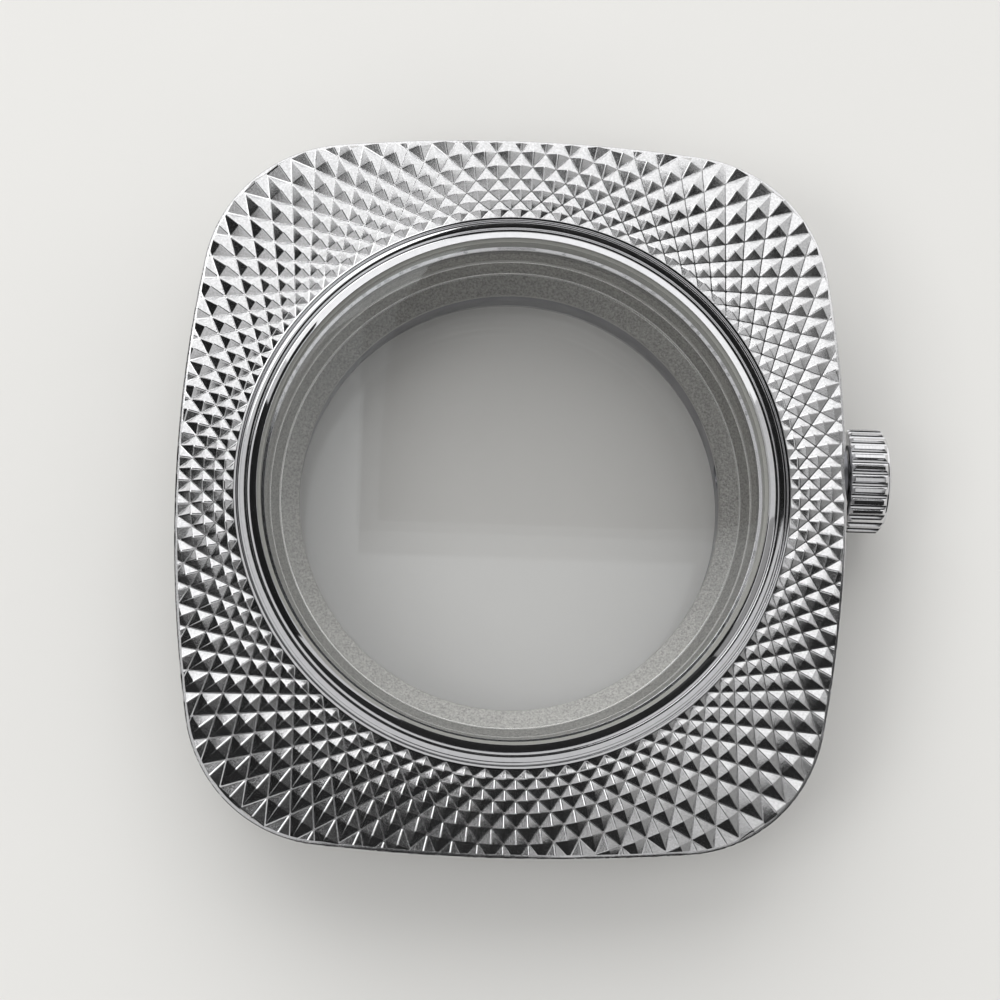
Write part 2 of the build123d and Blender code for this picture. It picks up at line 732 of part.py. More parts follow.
# Short stem with a groove near its inner end
with BuildPart() as winding_stem:
    with BuildSketch(stem_plane.offset(stem_start)):
        Circle(stem_radius)
    extrude(amount=stem_end - stem_start)
    inner_edge_of_stem = winding_stem.edges().filter_by(GeomType.CIRCLE).sort_by(Axis.X)[0]
    chamfer(inner_edge_of_stem, stem_groove_depth)
    with BuildSketch(stem_plane.offset(stem_start + stem_groove_length)):
        Circle(stem_radius)
        Circle(stem_radius - stem_groove_depth, mode=Mode.SUBTRACT)
    extrude(amount=stem_groove_length, mode=Mode.SUBTRACT)
winding_stem.part.label = "winding_stem"
export_step(winding_stem.part, "parts/winding_stem.step")

# Strap bars: a barrel, a spring inside it and a sprung tip at each end
barrel_half = strap_width / 2 - bar_end_gap
shoulder_end = strap_width / 2 - tip_shoulder_gap
shoulder_start = shoulder_end - tip_shoulder_length
spring_half = shoulder_start - tip_travel - fit_gap
for hour, end in (("12", 1), ("6", -1)):
    with BuildPart() as barrel:
        with BuildSketch(Plane.YZ.offset(-barrel_half)):
            with Locations((end * bar_y, bar_height)):
                Circle(bar_radius)
                Circle(bar_bore_radius, mode=Mode.SUBTRACT)
        extrude(amount=2 * barrel_half)
    barrel.part.label = f"strap_bar_{hour}_barrel"
    export_step(barrel.part, f"parts/strap_bar_{hour}_barrel.step")

    with BuildPart() as spring:
        with BuildSketch(Plane.YZ.offset(-spring_half)):
            with Locations((end * bar_y, bar_height)):
                Circle(bar_spring_radius)
                Circle(bar_spring_radius - bar_spring_wall, mode=Mode.SUBTRACT)
        extrude(amount=2 * spring_half)
    spring.part.label = f"strap_bar_{hour}_spring"
    export_step(spring.part, f"parts/strap_bar_{hour}_spring.step")

    for side_name, side in (("left", -1), ("right", 1)):
        with BuildPart() as tip:
            with BuildSketch(Plane.YZ.offset(side * shoulder_start)):
                with Locations((end * bar_y, bar_height)):
                    Circle(bar_bore_radius - running_gap)
            extrude(amount=side * tip_shoulder_length)
            with BuildSketch(Plane.YZ.offset(side * shoulder_end)):
                with Locations((end * bar_y, bar_height)):
                    Circle(tip_radius)
            extrude(amount=side * (tip_reach + tip_shoulder_gap))
        tip.part.label = f"strap_bar_{hour}_{side_name}_tip"
        export_step(tip.part, f"parts/strap_bar_{hour}_{side_name}_tip.step")
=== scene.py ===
"""Looks of an empty cushion-shaped watch case: finishes, turned rings, crown, floor, lamps and camera."""

import json
import logging
from dataclasses import dataclass
from enum import Enum
from math import cos, pi, radians, sin
from typing import Callable, Sequence

import bmesh
import bpy
from mathutils import Matrix, Vector

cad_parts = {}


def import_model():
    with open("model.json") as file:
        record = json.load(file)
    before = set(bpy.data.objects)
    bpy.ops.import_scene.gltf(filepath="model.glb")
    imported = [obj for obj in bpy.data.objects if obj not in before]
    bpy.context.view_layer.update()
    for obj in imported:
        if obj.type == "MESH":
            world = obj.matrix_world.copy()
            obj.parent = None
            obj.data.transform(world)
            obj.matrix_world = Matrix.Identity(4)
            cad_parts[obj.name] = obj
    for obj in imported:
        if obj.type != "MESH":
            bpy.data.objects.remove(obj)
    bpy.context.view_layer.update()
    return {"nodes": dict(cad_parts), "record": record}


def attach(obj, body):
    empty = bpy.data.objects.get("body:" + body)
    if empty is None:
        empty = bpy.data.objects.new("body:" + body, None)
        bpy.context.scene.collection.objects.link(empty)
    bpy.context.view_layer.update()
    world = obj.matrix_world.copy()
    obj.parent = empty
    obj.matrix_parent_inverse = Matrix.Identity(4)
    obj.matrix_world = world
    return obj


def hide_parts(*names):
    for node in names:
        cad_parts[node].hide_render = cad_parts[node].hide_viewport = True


MM = 0.001
log = logging.getLogger("watch_case")

Point = tuple[float, float]
Place = tuple[float, float, float]

# Lengths are in millimetres and angles in degrees, unless a name or comment says otherwise
CROWN_AXIS: Point = (2.25, 4.6)
FLANGE_STEPS: Point = (15.2, 14.6)
# Angles of the points over a low dome, from its rim towards its middle
DOME_ANGLES = (15, 30, 45, 60, 75, 83)
# Noise textures stay mostly within these values, one alone and two added up
ONE_NOISE: Point = (0.35, 0.65)
TWO_NOISES: Point = (0.75, 1.25)
# Points closer than this are one, on a turned piece and on a copy of a CAD node
SAME_POINT = 0.0005
SAME_CAD_POINT = 0.001
FLAT_ANGLE = 0.5


class Ends(Enum):
    """How a turned profile closes."""

    RING = "the last point joins the first round a bore"
    SOLID = "both ends close with a flat face"


class Axis(Enum):
    """The axis that a turned piece stands on."""

    UP = "the case's own axis"
    CROWN = "across the case, towards the crown's side"


# ---------------------------------------------------------------- colours and nodes


def linear(code: str) -> tuple[float, float, float, float]:
    """Turn an sRGB hex colour to linear values.

    Args:
        code: Six hex digits, such as "C8C8CA".

    Returns:
        Red, green, blue and an alpha of 1.
    """

    def channel(value: float) -> float:
        """Turn one sRGB channel to linear."""
        return value / 12.92 if value <= 0.04045 else ((value + 0.055) / 1.055) ** 2.4

    red, green, blue = (channel(int(code[i : i + 2], 16) / 255) for i in (0, 2, 4))
    return (red, green, blue, 1.0)


def add_node(
    tree: bpy.types.NodeTree, kind: str, settings: dict | None = None, links: dict | None = None
) -> bpy.types.Node:
    """Add a node with its settings, socket values and links.

    Args:
        tree: The node tree.
        kind: The node's type name.
        settings: Attributes of the node, or input names with their values.
        links: Input names or numbers with the output sockets that feed them.

    Returns:
        The new node.
    """
    node = tree.nodes.new(kind)
    for key, value in (settings or {}).items():
        if isinstance(key, str) and hasattr(node, key):
            setattr(node, key, value)
        else:
            node.inputs[key].default_value = value
    for key, source in (links or {}).items():
        tree.links.new(source, node.inputs[key])
    return node


# ---------------------------------------------------------------- finishes


class Grain(Enum):
    """The pattern that a tool leaves on steel."""

    ENGRAVED = "short strokes of a graver on small facets"
    POLISHED = "faint haze on a mirror"
    BLASTED = "even pits of glass beads"
    SATIN = "long fine lines along the sides"
    TURNED = "fine rings of a lathe tool round the case's axis"
    CROWN_TURNED = "fine rings of a lathe tool round the crown's axis"


@dataclass(frozen=True)
class Steel:
    """Stainless steel: the alloy is the same throughout, its colour, gloss and grain follow the tool.

    The colour is a metal's reflection seen head on. Pitch and depth are the grain's, in millimetres,
    and the shade is how much darker its hollows look. Handling marks are seen as a haze of soft changes
    of gloss.
    """

    name: str
    colour: str
    roughness: tuple[float, float]
    grain: Grain
    pitch: float
    depth: float
    shade: float
    metallic: float = 1.0
    bright_edges: tuple[float, ...] = ()
    bright_width: float = 0.045
    bright_roughness: float = 0.16
    # Painted highlight: the colour that the cut edges are mixed towards, lighter than the steel itself
    bright_colour: str = "F0F0EE"
    haze_size: float = 2.5
    haze_detail: float = 3.0
    grain_detail: float = 4.0
    grain_roughness: float = 0.65
    ring_detail: float = 2.0
    satin_stretch: Place = (0.04, 0.04, 1.0)

    def material(self) -> bpy.types.Material:
        """Build the node material.

        Returns:
            The material.
        """
        material = bpy.data.materials.new(self.name)
        material.use_nodes = True
        tree = material.node_tree
        shader = tree.nodes["Principled BSDF"]
        shader.inputs["Metallic"].default_value = self.metallic
        place = add_node(tree, "ShaderNodeTexCoord").outputs["Object"]
        grain = self._grain(tree, place)
        haze = add_node(
            tree,
            "ShaderNodeTexNoise",
            {"Scale": 1 / (self.haze_size * MM), "Detail": self.haze_detail},
            {"Vector": place},
        )
        both = add_node(tree, "ShaderNodeMath", {"operation": "ADD"}, {0: haze.outputs["Fac"], 1: grain})
        low, high = self.roughness
        gloss = add_node(
            tree,
            "ShaderNodeMapRange",
            {"From Min": TWO_NOISES[0], "From Max": TWO_NOISES[1], "To Min": low, "To Max": high},
            {"Value": both.outputs[0]},
        ).outputs["Result"]
        tone = add_node(
            tree, "ShaderNodeMapRange", {"From Min": ONE_NOISE[0], "From Max": ONE_NOISE[1]}, {"Value": grain}
        )
        full = linear(self.colour)
        hollow = (*(self.shade * value for value in full[:3]), 1.0)
        # Sockets 6 and 7 of a Mix node are its two colours
        tint = add_node(
            tree, "ShaderNodeMix", {"data_type": "RGBA", 6: hollow, 7: full}, {0: tone.outputs["Result"]}
        )
        bump = add_node(tree, "ShaderNodeBump", {"Distance": self.depth * MM}, {"Height": grain})
        if self.bright_edges:
            edge = self._edges(tree, place)
            gloss = add_node(
                tree, "ShaderNodeMix", {"data_type": "FLOAT", 3: self.bright_roughness}, {0: edge, 2: gloss}
            ).outputs[0]
            # Painted highlight: the edges' colour is mixed towards a near white, on top of their real, lower
            # roughness
            bright = linear(self.bright_colour)
            tint = add_node(
                tree, "ShaderNodeMix", {"data_type": "RGBA", 7: bright}, {0: edge, 6: tint.outputs[2]}
            )
            flat = add_node(tree, "ShaderNodeMath", {"operation": "SUBTRACT", 0: 1.0}, {1: edge})
            tree.links.new(flat.outputs[0], bump.inputs["Strength"])
        tree.links.new(gloss, shader.inputs["Roughness"])
        tree.links.new(tint.outputs[2], shader.inputs["Base Color"])
        tree.links.new(bump.outputs["Normal"], shader.inputs["Normal"])
        return material

    def _radius(
        self, tree: bpy.types.NodeTree, place: bpy.types.NodeSocket, round_crown: bool
    ) -> bpy.types.NodeSocket:
        """Measure the distance from the case's axis or from the crown's.

        Args:
            tree: The node tree.
            place: The object coordinates.
            round_crown: Whether the axis is the crown's.

        Returns:
            The distance's socket, in metres.
        """
        centre = Vector((0, *CROWN_AXIS)) * MM if round_crown else Vector((0, 0, 0))
        keep = (0, 1, 1) if round_crown else (1, 1, 0)
        shifted = add_node(tree, "ShaderNodeVectorMath", {"operation": "SUBTRACT", 1: centre}, {0: place})
        flat = add_node(
            tree, "ShaderNodeVectorMath", {"operation": "MULTIPLY", 1: keep}, {0: shifted.outputs[0]}
        )
        length = add_node(tree, "ShaderNodeVectorMath", {"operation": "LENGTH"}, {0: flat.outputs[0]})
        return length.outputs["Value"]

    def _edges(self, tree: bpy.types.NodeTree, place: bpy.types.NodeSocket) -> bpy.types.NodeSocket:
        """Mark the turned edges that a diamond tool cut glossy after blasting, which also carry a painted
        highlight in their colour.

        Args:
            tree: The node tree.
            place: The object coordinates.

        Returns:
            A socket that is 1 on those edges and 0 elsewhere.
        """
        radius = self._radius(tree, place, round_crown=False)
        marks = [
            add_node(
                tree,
                "ShaderNodeMath",
                {"operation": "COMPARE", 1: edge * MM, 2: self.bright_width * MM},
                {0: radius},
            ).outputs[0]
            for edge in self.bright_edges
        ]
        total = marks[0]
        for mark in marks[1:]:
            total = add_node(tree, "ShaderNodeMath", {"operation": "ADD"}, {0: total, 1: mark}).outputs[0]
        return total

    def _grain(self, tree: bpy.types.NodeTree, place: bpy.types.NodeSocket) -> bpy.types.NodeSocket:
        """Build the grain's height, from 0 to 1.

        Args:
            tree: The node tree.
            place: The object coordinates.

        Returns:
            The height's socket.
        """
        scale = 1 / (self.pitch * MM)
        if self.grain in (Grain.TURNED, Grain.CROWN_TURNED):
            round_crown = self.grain is Grain.CROWN_TURNED
            radius = self._radius(tree, place, round_crown)
            split = add_node(tree, "ShaderNodeSeparateXYZ", links={0: place})
            along = split.outputs["X" if round_crown else "Z"]
            # A flat face shows its rings by radius and a bore's wall shows them by height
            line = add_node(tree, "ShaderNodeCombineXYZ", links={0: radius, 1: along})
            rings = add_node(
                tree,
                "ShaderNodeTexNoise",
                {"Scale": scale, "Detail": self.ring_detail},
                {"Vector": line.outputs[0]},
            )
            return rings.outputs["Fac"]
        stretch = self.satin_stretch if self.grain is Grain.SATIN else (1.0, 1.0, 1.0)
        mapped = add_node(tree, "ShaderNodeMapping", {"Scale": stretch}, {"Vector": place})
        return add_node(
            tree,
            "ShaderNodeTexNoise",
            {"Scale": scale, "Detail": self.grain_detail, "Roughness": self.grain_roughness},
            {"Vector": mapped.outputs["Vector"]},
        ).outputs["Fac"]


@dataclass(frozen=True)
class Sapphire:
    """Synthetic sapphire, lapped flat and polished on both faces.

    It gives the eye a clear pane, a faint cool tint and hard reflections that come and go with fine
    wipe marks.
    """

    name: str = "polished_sapphire"
    colour: str = "F4F8FA"
    ior: float = 1.77
    mirrored: float = 0.035
    wipe_size: float = 6.0
    wipe_detail: float = 4.0
    wipe_range: Point = (0.4, 0.7)
    wiped_roughness: Point = (0.0, 0.03)

    def material(self) -> bpy.types.Material:
        """Build the node material.

        Returns:
            The material.
        """
        material = bpy.data.materials.new(self.name)
        material.use_nodes = True
        tree = material.node_tree
        shader = tree.nodes["Principled BSDF"]
        shader.inputs["Base Color"].default_value = linear(self.colour)
        shader.inputs["IOR"].default_value = self.ior
        # A coated face mirrors a small share and lets the rest pass, so the alpha is that share of a mirror
        shader.inputs["Metallic"].default_value = 1.0
        shader.inputs["Alpha"].default_value = self.mirrored
        place = add_node(tree, "ShaderNodeTexCoord").outputs["Object"]
        wipes = add_node(
            tree,
            "ShaderNodeTexNoise",
            {"Scale": 1 / (self.wipe_size * MM), "Detail": self.wipe_detail},
            {"Vector": place},
        )
        low, high = self.wipe_range
        clean, wiped = self.wiped_roughness
        gloss = add_node(
            tree,
            "ShaderNodeMapRange",
            {"From Min": low, "From Max": high, "To Min": clean, "To Max": wiped},
            {"Value": wipes.outputs["Fac"]},
        )
        tree.links.new(gloss.outputs["Result"], shader.inputs["Roughness"])
        return material


@dataclass(frozen=True)
class Moulded:
    """A moulded seal or gasket. It gives the eye an even line with a soft, slightly grainy sheen.

    The tone and gloss ranges say by how much the grain changes the colour and the roughness.
    """

    name: str
    colour: str
    roughness: float
    grain_size: float
    grain_detail: float = 3.0
    tone_range: Point = (0.8, 1.1)
    gloss_range: Point = (0.85, 1.15)
    depth: float = 0.01
    strength: float = 0.5

    def material(self) -> bpy.types.Material:
        """Build the node material.

        Returns:
            The material.
        """
        material = bpy.data.materials.new(self.name)
        material.use_nodes = True
        tree = material.node_tree
        shader = tree.nodes["Principled BSDF"]
        place = add_node(tree, "ShaderNodeTexCoord").outputs["Object"]
        grain = add_node(
            tree,
            "ShaderNodeTexNoise",
            {"Scale": 1 / (self.grain_size * MM), "Detail": self.grain_detail},
            {"Vector": place},
        ).outputs["Fac"]
        darkest, lightest = self.tone_range
        tone = add_node(tree, "ShaderNodeMapRange", {"To Min": darkest, "To Max": lightest}, {"Value": grain})
        colour = add_node(
            tree, "ShaderNodeHueSaturation", {"Color": linear(self.colour)}, {"Value": tone.outputs["Result"]}
        )
        tree.links.new(colour.outputs[0], shader.inputs["Base Color"])
        glossiest, dullest = self.gloss_range
        gloss = add_node(
            tree,
            "ShaderNodeMapRange",
            {"To Min": glossiest * self.roughness, "To Max": dullest * self.roughness},
            {"Value": grain},
        )
        tree.links.new(gloss.outputs["Result"], shader.inputs["Roughness"])
        bump = add_node(
            tree, "ShaderNodeBump", {"Strength": self.strength, "Distance": self.depth * MM}, {"Height": grain}
        )
        tree.links.new(bump.outputs["Normal"], shader.inputs["Normal"])
        return material


@dataclass(frozen=True)
class Workshop:
    """All finishes of the case, by the record's material slot."""

    # Stainless steel cut with a graver: bright and dark facets with a fine sparkle inside each.
    # Real tool marks are a few hundredths of a millimetre apart, drawn coarser here so that they show.
    engine_turned_steel: Steel = Steel(
        "stainless_steel_engraved", "E0E0E1", (0.12, 0.24), Grain.ENGRAVED, 0.13, 0.005, 0.8
    )
    # Stainless steel polished on a soft wheel: a mirror that shows sharp bands of light and dark
    polished_steel: Steel = Steel(
        "stainless_steel_mirror_polished", "DADADC", (0.04, 0.09), Grain.POLISHED, 0.4, 0.0004, 0.95
    )
    # Stainless steel blasted with glass beads: a soft warm grey with a fine grain, its step edges cut glossy
    # and lightened by a painted highlight.
    # Real pits are about 0.05 mm wide, drawn at 0.14 mm so that they show. They scatter some of the light
    # like a matt surface, so the shader is not a mirror in full.
    blasted_steel: Steel = Steel(
        "stainless_steel_bead_blasted",
        "BAB9B5",
        (0.34, 0.46),
        Grain.BLASTED,
        0.14,
        0.035,
        0.55,
        metallic=0.8,
        bright_edges=FLANGE_STEPS,
    )
    # Stainless steel brushed along its sides: soft highlights drawn out into lines
    satin_steel: Steel = Steel(
        "stainless_steel_satin_brushed", "C8C8CA", (0.24, 0.36), Grain.SATIN, 0.05, 0.003, 0.88
    )
    # Stainless steel fluted and polished: narrow streaks of white and black along the flutes
    crown_steel: Steel = Steel(
        "stainless_steel_fluted_polished", "DCDCDE", (0.08, 0.14), Grain.CROWN_TURNED, 0.12, 0.0006, 0.93
    )
    # Stainless steel as turned, dull, with fine rings that smear the light round the axis. Its colour is
    # painted shade: far darker than steel, for the crown tube's collar in the crown's shadow
    turned_steel: Steel = Steel(
        "stainless_steel_turned", "8C8C90", (0.3, 0.42), Grain.TURNED, 0.08, 0.002, 0.88
    )
    # Hardened stainless steel screws with a polished head: small crisp lights
    screw_steel: Steel = Steel(
        "stainless_steel_hardened", "B4B4B8", (0.16, 0.26), Grain.POLISHED, 0.2, 0.001, 0.9
    )
    sapphire: Sapphire = Sapphire()
    # Moulded nylon, a little glossy, and moulded nitrile rubber, nearly matt
    grey_nylon: Moulded = Moulded("grey_moulded_nylon", "94948F", 0.45, 0.08)
    black_rubber: Moulded = Moulded("black_nitrile_rubber", "161618", 0.7, 0.05)

    def dress(
        self, nodes: dict[str, bpy.types.Object], slots: dict[str, str]
    ) -> dict[str, bpy.types.Material]:
        """Build every finish and give each CAD node its own.

        Args:
            nodes: The CAD nodes by name.
            slots: The material slot of each node.

        Returns:
            The materials by slot.
        """
        materials = {slot: getattr(self, slot).material() for slot in sorted(set(slots.values()))}
        for name, node in nodes.items():
            node.data.materials.clear()
            node.data.materials.append(materials[slots[name]])
        return materials


# ---------------------------------------------------------------- modelling tools


def only(piece: bpy.types.Object) -> None:
    """Select this object alone and make it active."""
    bpy.ops.object.select_all(action="DESELECT")
    piece.select_set(True)
    bpy.context.view_layer.objects.active = piece


def apply_place(piece: bpy.types.Object) -> None:
    """Move the object's place and turn into its mesh."""
    only(piece)
    bpy.ops.object.transform_apply(location=True, rotation=True, scale=True)


def pick_edges(piece: bpy.types.Object, wanted: Callable[[bmesh.types.BMEdge], bool]) -> None:
    """Select, in edit mode, only the edges that pass a test.

    Args:
        piece: The object in edit mode.
        wanted: The test.
    """
    bpy.ops.mesh.select_all(action="DESELECT")
    mesh = bmesh.from_edit_mesh(piece.data)
    for edge in mesh.edges:
        if wanted(edge):
            edge.select_set(True)
    bmesh.update_edit_mesh(piece.data)


def soften(piece: bpy.types.Object, width: float, segments: int = 2, angle: float = 25.0) -> None:
    """Round the sharp edges a little and shade the rest smooth.

    Args:
        piece: The object.
        width: The bevel's width in millimetres.
        segments: Faces across each bevel.
        angle: Edges sharper than this many degrees are bevelled.
    """
    only(piece)
    bevel = piece.modifiers.new("edges", "BEVEL")
    bevel.width = width * MM
    bevel.segments = segments
    bevel.limit_method = "ANGLE"
    bevel.angle_limit = radians(angle)
    bevel.use_clamp_overlap = True
    bpy.ops.object.modifier_apply(modifier=bevel.name)
    bpy.ops.object.shade_smooth_by_angle(angle=radians(angle))


def domed(radius: float, base: float, rise: float, angles: Sequence[float] = DOME_ANGLES) -> list[Point]:
    """Lay points over a low dome, from its rim towards its middle.

    Args:
        radius: The rim's radius.
        base: The rim's height.
        rise: How much higher the middle is.
        angles: The angle of each point.

    Returns:
        Radius and height of each point, in millimetres.
    """
    return [(radius * cos(turn), base + rise * sin(turn)) for turn in map(radians, angles)]


def turned(
    name: str,
    profile: Sequence[Point],
    ends: Ends,
    steps: int,
    axis: Axis = Axis.UP,
    place: Place = (0, 0, 0),
) -> bpy.types.Object:
    """Turn a profile round an axis, one extrusion for each point.

    Args:
        name: The piece's name.
        profile: Radius and height of each point, in millimetres.
        ends: How the profile closes.
        steps: Faces round the axis.
        axis: The axis that the piece stands on.
        place: Where the axis starts, in millimetres.

    Returns:
        The piece.
    """
    radius, height = profile[0]
    fill = "NGON" if ends is Ends.SOLID else "NOTHING"
    bpy.ops.object.select_all(action="DESELECT")
    bpy.ops.mesh.primitive_circle_add(
        vertices=steps, radius=radius * MM, fill_type=fill, location=(0, 0, height * MM)
    )
    piece = bpy.context.object
    piece.name = name
    apply_place(piece)
    bpy.ops.object.mode_set(mode="EDIT")
    bpy.ops.mesh.select_mode(type="EDGE")
    bpy.ops.mesh.select_all(action="SELECT")
    for next_radius, next_height in profile[1:]:
        rise = (next_height - height) * MM
        bpy.ops.mesh.extrude_edges_move(TRANSFORM_OT_translate={"value": (0, 0, rise)})
        share = next_radius / radius
        if share != 1:
            bpy.ops.transform.resize(value=(share, share, 1))
        radius, height = next_radius, next_height
    if ends is Ends.SOLID:
        bpy.ops.mesh.edge_face_add()
    else:
        bpy.ops.mesh.select_all(action="SELECT")
        bpy.ops.mesh.region_to_loop()
        bpy.ops.mesh.bridge_edge_loops()
    bpy.ops.mesh.select_all(action="SELECT")
    bpy.ops.mesh.remove_doubles(threshold=SAME_POINT * MM)
    bpy.ops.mesh.normals_make_consistent(inside=False)
    bpy.ops.object.mode_set(mode="OBJECT")
    if axis is Axis.CROWN:
        piece.rotation_euler = (0, pi / 2, 0)
    piece.location = Vector(place) * MM
    apply_place(piece)
    return piece


def merged_copy(node: bpy.types.Object, name: str) -> bpy.types.Object:
    """Copy a CAD node's mesh into a new piece, join its loose triangles and clear its stored shading.

    Args:
        node: The CAD node.
        name: The new piece's name.

    Returns:
        The piece.
    """
    piece = bpy.data.objects.new(name, node.data.copy())
    bpy.context.scene.collection.objects.link(piece)
    only(piece)
    bpy.ops.object.mode_set(mode="EDIT")
    bpy.ops.mesh.select_all(action="SELECT")
    bpy.ops.mesh.remove_doubles(threshold=SAME_CAD_POINT * MM)
    bpy.ops.mesh.dissolve_limited(angle_limit=radians(FLAT_ANGLE))
    bpy.ops.object.mode_set(mode="OBJECT")
    bpy.ops.mesh.customdata_custom_splitnormals_clear()
    return piece


# ---------------------------------------------------------------- the case's pieces


@dataclass
class Fitting:
    """What every sub-assembly needs: the CAD nodes and the finishes."""

    nodes: dict[str, bpy.types.Object]
    materials: dict[str, bpy.types.Material]
    slots: dict[str, str]

    def settle(self, piece: bpy.types.Object, body: str, node: str) -> bpy.types.Object:
        """Give a finished piece its material, its body and the node that it stands for.

        Args:
            piece: The piece.
            body: The CAD body that it moves with.
            node: The CAD node that it replaces.

        Returns:
            The piece.
        """
        slot = self.slots[node]
        piece.data.materials.clear()
        piece.data.materials.append(self.materials[slot])
        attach(piece, body)
        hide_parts(node)
        log.info("%s: %d faces, for %s", piece.name, len(piece.data.polygons), node)
        return piece


@dataclass
class FrontPlate(Fitting):
    """The engraved plate: its pyramids are the CAD's, with round ridges and a narrow land in each groove."""

    groove_land: float = 0.04
    ridge_round: float = 0.06
    least_edge: float = 0.12
    least_face: float = 0.012
    least_angle: float = 20.0
    least_upward: float = 0.5
    smooth_angle: float = 12.0

    def on_relief(self, edge: bmesh.types.BMEdge) -> bool:
        """Tell whether an edge lies between two facets that are large enough to dress."""
        return (
            len(edge.link_faces) == 2
            and edge.calc_length() > self.least_edge * MM
            and edge.calc_face_angle() > radians(self.least_angle)
            and all(face.normal.z > self.least_upward for face in edge.link_faces)
            and all(face.calc_area() > self.least_face * MM**2 for face in edge.link_faces)
        )

    def build(self) -> bpy.types.Object:
        """Copy the plate, cut the grooves' lands and round the ridges.

        Returns:
            The piece.
        """
        piece = merged_copy(self.nodes["guilloche_bezel"], "front_plate")
        only(piece)
        bpy.ops.object.mode_set(mode="EDIT")
        bpy.ops.mesh.select_mode(type="EDGE")
        pick_edges(piece, lambda edge: self.on_relief(edge) and not edge.is_convex)
        bpy.ops.mesh.bevel(offset=self.groove_land * MM, segments=1, clamp_overlap=False)
        pick_edges(piece, lambda edge: self.on_relief(edge) and edge.is_convex)
        bpy.ops.mesh.bevel(offset=self.ridge_round * MM, segments=2, clamp_overlap=False)
        bpy.ops.object.mode_set(mode="OBJECT")
        # Less than a ridge's turn between its strips, so that every facet stays flat
        bpy.ops.object.shade_smooth_by_angle(angle=radians(self.smooth_angle))
        return self.settle(piece, "case", "guilloche_bezel")


